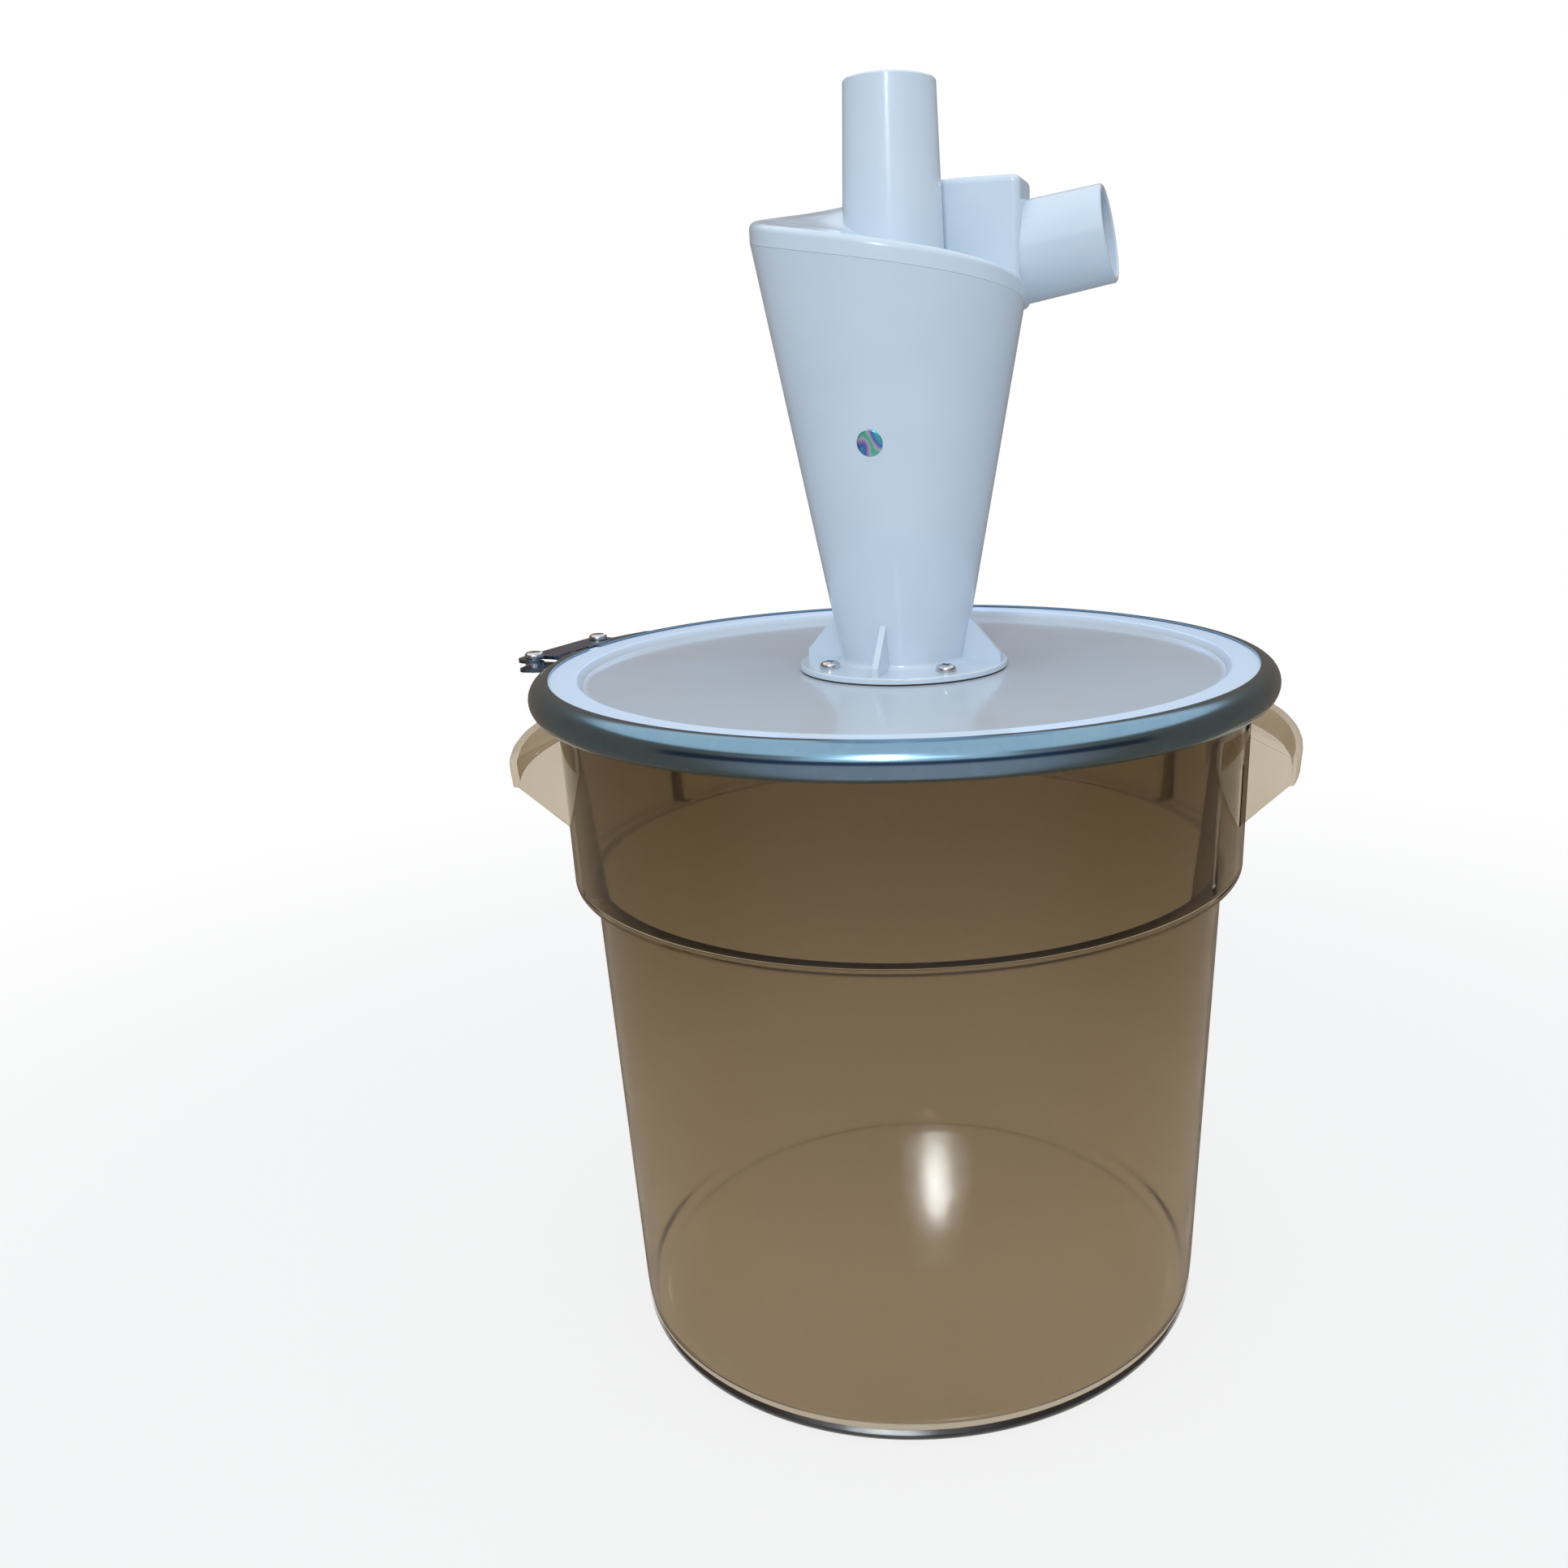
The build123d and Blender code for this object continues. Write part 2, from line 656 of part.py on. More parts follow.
# Cyclone head: helical roof with its skirt, inlet duct and pipe, outlet tube
pipe_axis = turned(math.cos(math.radians(inlet_rise)), 0, math.sin(math.radians(inlet_rise)))
pipe_plane = Plane(
    origin=turned(duct_length, inlet_side, roof_start - inlet_drop),
    x_dir=turned(0, 1, 0),
    z_dir=pipe_axis,
)
roof_inner = outlet_bore + shell / 2
with BuildPart() as cyclone_head:
    for start in (helix_start, helix_start + 180.0):
        for angle in half_turn(start):
            band = cone_radius(seam_height(angle))
            top = roof_height(angle)
            low = seam_height(angle) + seam_gap
            with BuildSketch(radial_plane(angle + clock)):
                with BuildLine():
                    Polyline(
                        (roof_inner, top - shell),
                        (band - shell, top - shell),
                        (band - shell, low),
                        (band, low),
                        (band, top),
                        (roof_inner, top),
                        close=True,
                    )
                make_face()
                fillet(vertices().sort_by_distance((band, top))[0], roof_edge_round)
        loft()
    add(duct_box.part)
    with Locations((0, 0, outlet_foot)):
        Cone(
            bottom_radius=outlet_foot_radius,
            top_radius=outlet_top_radius,
            height=outlet_top - outlet_foot,
            align=(Align.CENTER, Align.CENTER, Align.MIN),
        )
    with Locations((0, 0, vortex_low)):
        Cylinder(
            outlet_bore + vortex_wall,
            outlet_foot - vortex_low + shell,
            align=(Align.CENTER, Align.CENTER, Align.MIN),
        )
    with Locations(pipe_plane.offset(-inlet_sink).location):
        Cone(
            bottom_radius=inlet_foot_radius,
            top_radius=inlet_mouth_radius,
            height=inlet_length + inlet_sink,
            align=(Align.CENTER, Align.CENTER, Align.MIN),
        )
    with BuildSketch(Plane.XY.offset(duct_floor + shell).rotated((0, 0, clock))):
        with Locations((seam_gap + shell, duct_inner + shell)):
            Rectangle(
                duct_length - seam_gap - 2 * shell,
                duct_outer - duct_inner - 2 * shell,
                align=(Align.MIN, Align.MIN),
            )
        fillet(
            vertices().sort_by_distance((duct_length - shell, duct_outer - shell))[0],
            duct_corner_round - shell,
        )
    extrude(amount=duct_height - 2 * shell, mode=Mode.SUBTRACT)
    with BuildSketch(radial_plane(helix_start + clock)):
        with BuildLine():
            Polyline(
                (duct_inner + shell, duct_floor + shell),
                (cone_radius(duct_floor + shell) - shell, duct_floor + shell),
                (duct_outer - shell, seam_height(helix_start)),
                (duct_outer - shell, roof_start - shell),
                (duct_inner + shell, roof_start - shell),
                close=True,
            )
        make_face()
    extrude(amount=seam_gap + 1.2 * shell, mode=Mode.SUBTRACT)
    with BuildSketch(Plane.XY.offset(outlet_top)):
        Circle(outlet_bore)
    extrude(amount=vortex_low - outlet_top, mode=Mode.SUBTRACT)
    with BuildSketch(pipe_plane.offset(inlet_length)):
        Circle(inlet_bore)
    extrude(amount=-inlet_length - inlet_sink, mode=Mode.SUBTRACT)
    chamfer(edges().group_by(Axis.Z)[-1], pipe_rim_bevel)
    mouth = pipe_plane.offset(inlet_length).origin
    chamfer(edges().filter_by(GeomType.CIRCLE).sort_by_distance(mouth)[0:2], pipe_rim_bevel)
cyclone_head.part.label = "cyclone_head"
export_step(cyclone_head.part, "parts/cyclone_head.step")

# Flange gasket: thin foam ring between the flange and the lid
with BuildPart() as flange_gasket:
    with BuildSketch(Plane.XY.offset(lid_floor)):
        Circle(flange_radius - flange_gasket_inset)
        Circle(dust_hole_radius, mode=Mode.SUBTRACT)
        with PolarLocations(screw_circle_radius, screw_count, start_angle=screw_turn + clock):
            Circle(screw_radius + screw_hole_gap, mode=Mode.SUBTRACT)
    extrude(amount=flange_gasket_thick)
flange_gasket.part.label = "flange_gasket"
export_step(flange_gasket.part, "parts/flange_gasket.step")

# Flange screws: pan heads with a cross recess
with BuildPart() as flange_screws:
    with BuildSketch(Plane.XY.offset(flange_top)):
        with PolarLocations(screw_circle_radius, screw_count, start_angle=screw_turn + clock):
            Circle(screw_head_radius)
    extrude(amount=screw_head_height)
    fillet(edges().group_by(Axis.Z)[-1], screw_head_round)
    with BuildSketch(Plane.XY.offset(flange_top)):
        with PolarLocations(screw_circle_radius, screw_count, start_angle=screw_turn + clock):
            Circle(screw_radius)
    extrude(amount=-screw_length)
    with BuildSketch(Plane.XY.offset(flange_top + screw_head_height)):
        with PolarLocations(screw_circle_radius, screw_count, start_angle=screw_turn + clock):
            Rectangle(cross_length, cross_width)
            Rectangle(cross_width, cross_length)
    extrude(amount=-cross_depth, mode=Mode.SUBTRACT)
flange_screws.part.label = "flange_screws"
export_step(flange_screws.part, "parts/flange_screws.step")

# Washers under the lid
with BuildPart() as flange_washers:
    with BuildSketch(Plane.XY.offset(lid_under)):
        with PolarLocations(screw_circle_radius, screw_count, start_angle=screw_turn + clock):
            Circle(washer_radius)
            Circle(screw_radius + screw_hole_gap, mode=Mode.SUBTRACT)
    extrude(amount=-washer_thick)
flange_washers.part.label = "flange_washers"
export_step(flange_washers.part, "parts/flange_washers.step")

# Hexagon nuts under the washers
with BuildPart() as flange_nuts:
    with BuildSketch(Plane.XY.offset(nut_low)):
        with PolarLocations(screw_circle_radius, screw_count, start_angle=screw_turn + clock):
            RegularPolygon(nut_across / 2, 6, major_radius=False)
            Circle(screw_radius, mode=Mode.SUBTRACT)
    extrude(amount=nut_thick)
flange_nuts.part.label = "flange_nuts"
export_step(flange_nuts.part, "parts/flange_nuts.step")
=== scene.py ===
import bpy
import math
import numpy as np
from mathutils import Matrix, Vector


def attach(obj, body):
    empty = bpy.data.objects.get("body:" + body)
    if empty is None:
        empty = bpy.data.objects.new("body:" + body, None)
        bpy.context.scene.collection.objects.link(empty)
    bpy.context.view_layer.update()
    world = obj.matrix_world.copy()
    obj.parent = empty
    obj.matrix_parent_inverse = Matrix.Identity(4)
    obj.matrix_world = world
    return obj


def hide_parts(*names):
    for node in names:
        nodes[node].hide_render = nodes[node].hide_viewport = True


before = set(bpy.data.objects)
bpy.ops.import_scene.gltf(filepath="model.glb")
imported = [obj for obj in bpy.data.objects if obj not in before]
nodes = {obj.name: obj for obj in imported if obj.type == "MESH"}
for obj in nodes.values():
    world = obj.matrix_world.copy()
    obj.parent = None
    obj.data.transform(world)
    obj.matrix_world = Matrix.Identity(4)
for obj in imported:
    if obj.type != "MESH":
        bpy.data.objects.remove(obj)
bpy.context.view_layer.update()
print("frame loaded:", len(nodes), "nodes")

# Camera at the photograph's place: it stands in front of the bucket and looks down a little
photoCamera = {
    "place": (0.0, -0.7523, 0.5142),   # metres
    "pitchDown": 15.66,                # degrees
    "roll": -1.47,                     # degrees, the right side of the picture is raised
    "focalPixels": 1708.4,
    "axisPixel": (1117.6, 966.0),      # where the lens axis meets the picture
    "photoPixels": 1932.0,
    "sensor": 36.0,                    # millimetres
    "clip": (0.01, 100.0),             # metres
}


def placeCamera(spec):
    data = bpy.data.cameras.new("photoCamera")
    data.sensor_width = spec["sensor"]
    data.lens = spec["focalPixels"] / spec["photoPixels"] * spec["sensor"]
    half = spec["photoPixels"] / 2
    data.shift_x = (half - spec["axisPixel"][0]) / spec["photoPixels"]
    data.shift_y = (spec["axisPixel"][1] - half) / spec["photoPixels"]
    data.clip_start, data.clip_end = spec["clip"]
    camera = bpy.data.objects.new("photoCamera", data)
    tilt = Matrix.Rotation(math.radians(90.0 - spec["pitchDown"]), 4, "X")
    turn = Matrix.Rotation(math.radians(spec["roll"]), 4, "Z")
    camera.matrix_world = Matrix.Translation(spec["place"]) @ tilt @ turn
    bpy.context.scene.collection.objects.link(camera)
    bpy.context.scene.camera = camera


placeCamera(photoCamera)
print("camera placed")


# Helpers for node trees
def addNode(tree, kind, **settings):
    node = tree.nodes.new(kind)
    for name, value in settings.items():
        setattr(node, name, value)
    return node


def setInputs(node, values):
    for name, value in values.items():
        node.inputs[name].default_value = value


def mixColour(tree, share, first, second):
    node = addNode(tree, "ShaderNodeMix", data_type="RGBA")
    ends = [socket for socket in node.inputs if socket.type == "RGBA"]
    for socket, value in zip(ends, (first, second)):
        if isinstance(value, tuple):
            socket.default_value = value
        else:
            tree.links.new(value, socket)
    tree.links.new(share, node.inputs["Factor"])
    return next(socket for socket in node.outputs if socket.type == "RGBA")


def mixShaders(tree, share, first, second, out):
    mix = addNode(tree, "ShaderNodeMixShader")
    tree.links.new(share, mix.inputs[0])
    tree.links.new(first.outputs[0], mix.inputs[1])
    tree.links.new(second.outputs[0], mix.inputs[2])
    tree.links.new(mix.outputs[0], out.inputs["Surface"])


def spread(tree, value, low, high, fromLow=0.3, fromHigh=0.7, easing="LINEAR"):
    # the defaults are the span that a noise mostly keeps to
    node = addNode(tree, "ShaderNodeMapRange", interpolation_type=easing)
    setInputs(node, {"From Min": fromLow, "From Max": fromHigh, "To Min": low, "To Max": high})
    tree.links.new(value, node.inputs["Value"])
    return node.outputs["Result"]


def seenShare(tree):
    # 1 for rays of the camera, of reflections and of what shows through, else 0
    path = addNode(tree, "ShaderNodeLightPath")
    first = addNode(tree, "ShaderNodeMath", operation="MAXIMUM")
    second = addNode(tree, "ShaderNodeMath", operation="MAXIMUM")
    tree.links.new(path.outputs["Is Camera Ray"], first.inputs[0])
    tree.links.new(path.outputs["Is Glossy Ray"], first.inputs[1])
    tree.links.new(first.outputs[0], second.inputs[0])
    tree.links.new(path.outputs["Is Transmission Ray"], second.inputs[1])
    return second.outputs[0]


def bareMaterial(name):
    material = bpy.data.materials.new(name)
    material.use_nodes = True
    material.node_tree.nodes.clear()
    return material, material.node_tree


# Helpers for surfaces
def polarPoints(radii, turns):
    # a flat disc: its middle, then every radius times the unit circle
    angle = np.linspace(0.0, 2 * math.pi, turns, endpoint=False)
    circle = np.column_stack([np.cos(angle), np.sin(angle)])
    return np.concatenate([np.zeros((1, 2)), (radii[:, None, None] * circle).reshape(-1, 2)])


def polarFaces(rings, turns):
    # a fan of triangles round the middle, then quads from ring to ring
    column = np.arange(turns)
    after = (column + 1) % turns
    fan = np.column_stack([np.zeros_like(column), 1 + column, 1 + after])
    low = 1 + turns * np.arange(rings - 1)[:, None]
    high = low + turns
    quads = np.stack([low + column, high + column, high + after, low + after], -1).reshape(-1, 4)
    return fan.tolist() + quads.tolist()


def turnSection(section, angles, wrap, closed):
    # a section of points (r, z) carried about the axis: (r cos a, r sin a, z) at every angle a;
    # wrap joins the last angle to the first, closed joins the section's last point to its first
    count = len(section)
    surface = np.empty((len(angles), count, 3))
    surface[..., 0] = np.cos(angles)[:, None] * section[:, 0]
    surface[..., 1] = np.sin(angles)[:, None] * section[:, 0]
    surface[..., 2] = section[:, 1]
    step = np.arange(len(angles) if wrap else len(angles) - 1)[:, None]
    point = np.arange(count if closed else count - 1)[None, :]
    here = step * count
    there = (step + 1) % len(angles) * count
    nextPoint = (point + 1) % count
    corners = [here + point, there + point, there + nextPoint, here + nextPoint]
    return surface.reshape(-1, 3), np.stack(corners, -1).reshape(-1, 4)


def meshObject(name, points, faces, materials):
    mesh = bpy.data.meshes.new(name)
    mesh.from_pydata(points.tolist(), [], faces)
    for material in materials:
        mesh.materials.append(material)
    piece = bpy.data.objects.new(name, mesh)
    bpy.context.scene.collection.objects.link(piece)
    return piece


# Sky: a cool day that lights the matt surfaces, plain white wherever it is seen
dayLight = (0.88, 0.945, 1.0)
plainWhite = (1.0, 1.0, 1.0, 1.0)
studioSky = {"colour": (*dayLight, 1.0), "light": 0.66}


def makeSky(spec):
    world = bpy.data.worlds.new("studioWorld")
    world.use_nodes = True
    tree = world.node_tree
    tree.nodes.clear()
    cool = addNode(tree, "ShaderNodeBackground")
    setInputs(cool, {"Color": spec["colour"], "Strength": spec["light"]})
    white = addNode(tree, "ShaderNodeBackground")
    setInputs(white, {"Color": plainWhite, "Strength": 1.0})
    mixShaders(tree, seenShare(tree), cool, white, addNode(tree, "ShaderNodeOutputWorld"))
    bpy.context.scene.world = world
    bpy.context.scene.view_settings.view_transform = "Standard"


# Floor: a pale disc that keeps the bucket's shadow and turns plain white far off
paleFloor = {
    "radius": 12.0,
    "rings": 8,
    "turns": 96,
    "drop": 0.0004,             # metres under the bucket's foot
    "colour": (0.62, 0.61, 0.60, 1.0),
    "white": (0.80, 1.0),       # share of plain white near the bucket and far off
    "fade": (0.45, 1.25),       # metres from the axis
}


def makeFloor(spec):
    # a flat disc whose rings lie closer together near the bucket: radius times a share squared
    radii = np.linspace(0.0, 1.0, spec["rings"] + 1)[1:] ** 2 * spec["radius"]
    flat = polarPoints(radii, spec["turns"])
    points = np.column_stack([flat, np.full(len(flat), -spec["drop"])])
    material, tree = bareMaterial("paleFloor")
    matt = addNode(tree, "ShaderNodeBsdfDiffuse")
    setInputs(matt, {"Color": spec["colour"]})
    glow = addNode(tree, "ShaderNodeEmission")
    setInputs(glow, {"Color": plainWhite})
    away = addNode(tree, "ShaderNodeVectorMath", operation="LENGTH")
    tree.links.new(addNode(tree, "ShaderNodeTexCoord").outputs["Object"], away.inputs[0])
    fade = spread(tree, away.outputs["Value"], *spec["white"], *spec["fade"], "SMOOTHSTEP")
    share = addNode(tree, "ShaderNodeMath", operation="MULTIPLY")
    tree.links.new(seenShare(tree), share.inputs[0])
    tree.links.new(fade, share.inputs[1])
    mixShaders(tree, share.outputs[0], matt, glow, addNode(tree, "ShaderNodeOutputMaterial"))
    faces = polarFaces(spec["rings"], spec["turns"])
    floor = meshObject("studioFloor", points, faces, [material])


# Lamps: a tall window and a wide panel behind the camera, a soft ceiling, and three small blue
# lamps behind the bucket that make one pale glint with a soft edge on its brown floor
glintBlue = (0.34, 0.52, 1.0)
studioLamps = {
    "aim": (0.0, 0.0, 0.38),
    "lamps": [
        # name, place, width, height, watts, colour, shows in reflections
        ("window", (-0.24, -1.95, 1.55), 0.24, 0.95, 14.5, dayLight, True),
        ("frontPanel", (-0.1, -2.2, 1.55), 1.5, 0.32, 2.4, (0.85, 0.93, 1.0), True),
        ("backGlint", (0.045, 2.06, 1.24), 0.045, 0.14, 3.2, glintBlue, True),
        ("backGlow", (0.045, 2.09, 1.24), 0.085, 0.22, 1.6, glintBlue, True),
        ("backHalo", (0.045, 2.12, 1.24), 0.15, 0.32, 1.0, glintBlue, True),
        ("ceiling", (0.0, -0.3, 2.6), 1.8, 1.8, 13.0, dayLight, False),
    ],
}


def hangLamps(spec):
    for name, place, width, height, watts, colour, shows in spec["lamps"]:
        lamp = bpy.data.lights.new(name, "AREA")
        lamp.shape = "ELLIPSE"
        lamp.size = width
        lamp.size_y = height
        lamp.energy = watts
        lamp.color = colour
        holder = bpy.data.objects.new(name, lamp)
        holder.visible_glossy = shows
        holder.location = place
        aim = Vector(spec["aim"]) - Vector(place)
        holder.rotation_euler = aim.to_track_quat("-Z", "Y").to_euler()
        bpy.context.scene.collection.objects.link(holder)


# Cards that only reflections see: a dark floor, dark walls and a navy band in front,
# so that the polished ring gets its dark bands
studioCards = {
    "strips": [
        # low radius and height, high radius and height in metres, start and end in degrees, tone
        ((0.168, 0.002), (3.4, 0.002), -180.0, 180.0, "floor"),
        ((3.4, 0.002), (3.4, 2.5), -60.0, 240.0, "floor"),
        ((2.6, 0.002), (2.6, 0.92), -160.0, -20.0, "band"),
    ],
    "arcPoints": 49,
    "tones": {   # away from the front, straight in front
        "floor": ((0.20, 0.15, 0.115, 1.0), (0.55, 0.46, 0.46, 1.0)),
        "band": ((0.03, 0.035, 0.05, 1.0), (0.03, 0.05, 0.10, 1.0)),
    },
    "fade": (-0.45, -0.98),   # y over the distance from the origin
}


def makeCardTone(name, side, front, fade):
    material, tree = bareMaterial(name + "Card")
    toward = addNode(tree, "ShaderNodeVectorMath", operation="NORMALIZE")
    tree.links.new(addNode(tree, "ShaderNodeTexCoord").outputs["Object"], toward.inputs[0])
    parts = addNode(tree, "ShaderNodeSeparateXYZ")
    tree.links.new(toward.outputs[0], parts.inputs[0])
    share = spread(tree, parts.outputs["Y"], 0.0, 1.0, *fade, "SMOOTHSTEP")
    glow = addNode(tree, "ShaderNodeEmission")
    tree.links.new(mixColour(tree, share, side, front), glow.inputs["Color"])
    out = addNode(tree, "ShaderNodeOutputMaterial")
    tree.links.new(glow.outputs[0], out.inputs["Surface"])
    return material


def standCards(spec):
    # a card is a straight line from a low to a high point, carried about the bucket's axis
    tones = {}
    for name, (side, front) in spec["tones"].items():
        tones[name] = makeCardTone(name, side, front, spec["fade"])
    for number, (low, high, start, end, tone) in enumerate(spec["strips"]):
        angles = np.radians(np.linspace(start, end, spec["arcPoints"]))
        points, quads = turnSection(np.array([low, high]), angles, wrap=False, closed=False)
        card = meshObject("darkCard%d" % number, points, quads.tolist(), [tones[tone]])
        card.visible_camera = False
        card.visible_diffuse = False
        card.visible_transmission = False
        card.visible_shadow = False


makeSky(studioSky)
makeFloor(paleFloor)
hangLamps(studioLamps)
standCards(studioCards)
print("studio lit")


# Helpers for the finishes: every pattern reads Object coordinates in metres
def newFinish(name):
    material = bpy.data.materials.new(name)
    material.use_nodes = True
    tree = material.node_tree
    shader = tree.nodes["Principled BSDF"]
    place = addNode(tree, "ShaderNodeTexCoord").outputs["Object"]
    return material, tree, shader, place


def noiseOf(tree, place, scale, detail=3.0):
    node = addNode(tree, "ShaderNodeTexNoise")
    setInputs(node, {"Scale": scale, "Detail": detail})
    tree.links.new(place, node.inputs["Vector"])
    return node.outputs["Fac"]


def noiseColour(tree, shader, noise, low, high):
    colour = mixColour(tree, spread(tree, noise, 0.0, 1.0), low, high)
    tree.links.new(colour, shader.inputs["Base Color"])


def addBump(tree, shader, height, strength, depth):
    node = addNode(tree, "ShaderNodeBump")
    setInputs(node, {"Strength": strength, "Distance": depth})
    tree.links.new(height, node.inputs["Height"])
    tree.links.new(node.outputs["Normal"], shader.inputs["Normal"])


def roundCoords(tree, place):
    # cylinder coordinates about the bucket's axis: distance from it and height
    parts = addNode(tree, "ShaderNodeSeparateXYZ")
    tree.links.new(place, parts.inputs[0])
    flat = addNode(tree, "ShaderNodeCombineXYZ")
    tree.links.new(parts.outputs["X"], flat.inputs["X"])
    tree.links.new(parts.outputs["Y"], flat.inputs["Y"])
    length = addNode(tree, "ShaderNodeVectorMath", operation="LENGTH")
    tree.links.new(flat.outputs[0], length.inputs[0])
    return length.outputs["Value"], parts.outputs["Z"]


# White moulded plastic of the cyclone: cool white, faint flow clouds, fine orange peel
whiteMoulding = {
    "light": (0.65, 0.732, 0.82, 1.0),
    "dull": (0.595, 0.685, 0.785, 1.0),
    "cloudScale": 14.0,
    "patchScale": 84.0,
    "rough": (0.14, 0.24),
    "peelNoise": (700.0, 2.0),     # scale, detail
    "peelBump": (0.08, 0.0002),    # strength, depth in metres
    "bendIndex": 1.5,
}


def makeWhiteMoulding(spec):
    material, tree, shader, place = newFinish("whiteMoulding")
    noiseColour(tree, shader, noiseOf(tree, place, spec["cloudScale"]), spec["dull"], spec["light"])
    patches = noiseOf(tree, place, spec["patchScale"])
    tree.links.new(spread(tree, patches, *spec["rough"]), shader.inputs["Roughness"])
    addBump(tree, shader, noiseOf(tree, place, *spec["peelNoise"]), *spec["peelBump"])
    setInputs(shader, {"IOR": spec["bendIndex"]})
    return material


# Lid: the same plastic, glossy in the recess and matt on the pale rim; the recess is painted greyer,
# as painted shade and painted reflection
lidPlastic = {
    "rim": (0.66, 0.76, 0.885, 1.0),
    # painted shade and reflection: the greyer tones of the recess
    "recessShadeCool": (0.555, 0.62, 0.695, 1.0),
    "recessShadeWarm": (0.525, 0.55, 0.58, 1.0),
    "recessEdge": (0.1728, 0.1762),     # metres from the axis
    "cloudScale": 6.0,
    "rough": (0.11, 0.16),
    "wipeNoise": (26.0, 5.0),           # scale, detail
    "rimRough": 0.42,
    "rimRoughFrom": (0.1685, 0.1725),   # metres from the axis
    "peelNoise": (600.0, 2.0),
    "peelBump": (0.015, 0.0002),        # strength, depth in metres
    "shine": 0.28,
}


def makeLidPlastic(spec):
    material, tree, shader, place = newFinish("lidPlastic")
    radius = roundCoords(tree, place)[0]
    clouds = spread(tree, noiseOf(tree, place, spec["cloudScale"]), 0.0, 1.0)
    # painted shade and reflection: the recess is coloured greyer than the rim
    recess = mixColour(tree, clouds, spec["recessShadeWarm"], spec["recessShadeCool"])
    outside = spread(tree, radius, 0.0, 1.0, *spec["recessEdge"])
    tree.links.new(mixColour(tree, outside, recess, spec["rim"]), shader.inputs["Base Color"])
    wiped = spread(tree, noiseOf(tree, place, *spec["wipeNoise"]), *spec["rough"])
    rimMatt = spread(tree, radius, 0.0, spec["rimRough"], *spec["rimRoughFrom"])
    rougher = addNode(tree, "ShaderNodeMath", operation="MAXIMUM")
    tree.links.new(wiped, rougher.inputs[0])
    tree.links.new(rimMatt, rougher.inputs[1])
    tree.links.new(rougher.outputs[0], shader.inputs["Roughness"])
    addBump(tree, shader, noiseOf(tree, place, *spec["peelNoise"]), *spec["peelBump"])
    setInputs(shader, {"Specular IOR Level": spec["shine"]})
    return material


# Clear bucket: smoky brown see-through plastic in slow waves; towards the collar the tint is painted
# darker, as painted shade under the lid
clearPlastic = {
    "tint": (0.525, 0.45, 0.338, 1.0),
    # painted shade: the darker tint of the collar
    "collarShadeTint": (0.265, 0.212, 0.138, 1.0),
    "collarShadeHeights": (0.10, 0.34),   # metres
    "lampTint": (0.72, 0.66, 0.56, 1.0),
    "hazeNoise": (40.0, 5.0),      # scale, detail
    "rough": (0.03, 0.07),
    "bendIndex": 1.38,
    "waveNoise": (18.0, 1.0),
    "waveBump": (0.06, 0.002),     # strength, depth in metres
}

# Ears of the bucket: the same plastic in thin plates, which hardly bend the light
earPlastic = {
    "clear": (0.57, 0.495, 0.39, 1.0),
    "smoky": (0.51, 0.44, 0.34, 1.0),
    "cloudScale": 30.0,
    "lampTint": (0.72, 0.66, 0.56, 1.0),
    "hazeNoise": (40.0, 5.0),
    "rough": (0.03, 0.07),
    "bendIndex": 1.002,
    "coat": 0.5,
}


def makeSeeThrough(tree, shader, place, spec):
    haze = noiseOf(tree, place, *spec["hazeNoise"])
    tree.links.new(spread(tree, haze, *spec["rough"]), shader.inputs["Roughness"])
    setInputs(shader, {"Transmission Weight": 1.0, "IOR": spec["bendIndex"]})
    # shadow rays pass with a tint, so what stands behind clear plastic is lit
    through = addNode(tree, "ShaderNodeBsdfTransparent")
    setInputs(through, {"Color": spec["lampTint"]})
    path = addNode(tree, "ShaderNodeLightPath")
    mixShaders(tree, path.outputs["Is Shadow Ray"], shader, through, tree.nodes["Material Output"])


def makeClearPlastic(spec):
    material, tree, shader, place = newFinish("clearPlastic")
    height = roundCoords(tree, place)[1]
    # painted shade: the tint darkens with height towards the collar
    collarShade = spread(tree, height, 0.0, 1.0, *spec["collarShadeHeights"])
    tint = mixColour(tree, collarShade, spec["tint"], spec["collarShadeTint"])
    tree.links.new(tint, shader.inputs["Base Color"])
    addBump(tree, shader, noiseOf(tree, place, *spec["waveNoise"]), *spec["waveBump"])
    makeSeeThrough(tree, shader, place, spec)
    return material


def makeEarPlastic(spec):
    material, tree, shader, place = newFinish("earPlastic")
    noiseColour(tree, shader, noiseOf(tree, place, spec["cloudScale"]), spec["smoky"], spec["clear"])
    setInputs(shader, {"Coat Weight": spec["coat"]})
    makeSeeThrough(tree, shader, place, spec)
    return material


# Steels: smooth galvanised ring with faint spangle, its colour painted dark teal blue as painted
# reflection of a dark, cool room; darker drawn latch strips, bright rivets
ringSteel = {
    # painted reflection: the ring's dark teal blue stands in for the room it reflects
    "pale": (0.24, 0.40, 0.53, 1.0),
    "dark": (0.215, 0.37, 0.50, 1.0),
    "spangleScale": 160.0,
    "lineNoise": (1100.0, 2.0),    # scale, detail
    "lineBump": None,
    "rough": (0.17, 0.22),
}
latchSteel = {
    "pale": (0.24, 0.32, 0.42, 1.0),
    "dark": (0.11, 0.15, 0.205, 1.0),
    "spangleScale": 420.0,
    "lineNoise": (1400.0, 2.0),
    "lineBump": (0.02, 0.0003),    # strength, depth in metres
    "rough": (0.22, 0.36),
}
rivetSteel = {
    "pale": (0.74, 0.75, 0.76, 1.0),
    "dark": (0.55, 0.56, 0.58, 1.0),
    "spangleScale": 900.0,
    "lineNoise": (2000.0, 2.0),
    "lineBump": (0.02, 0.0003),
    "rough": (0.15, 0.26),
}


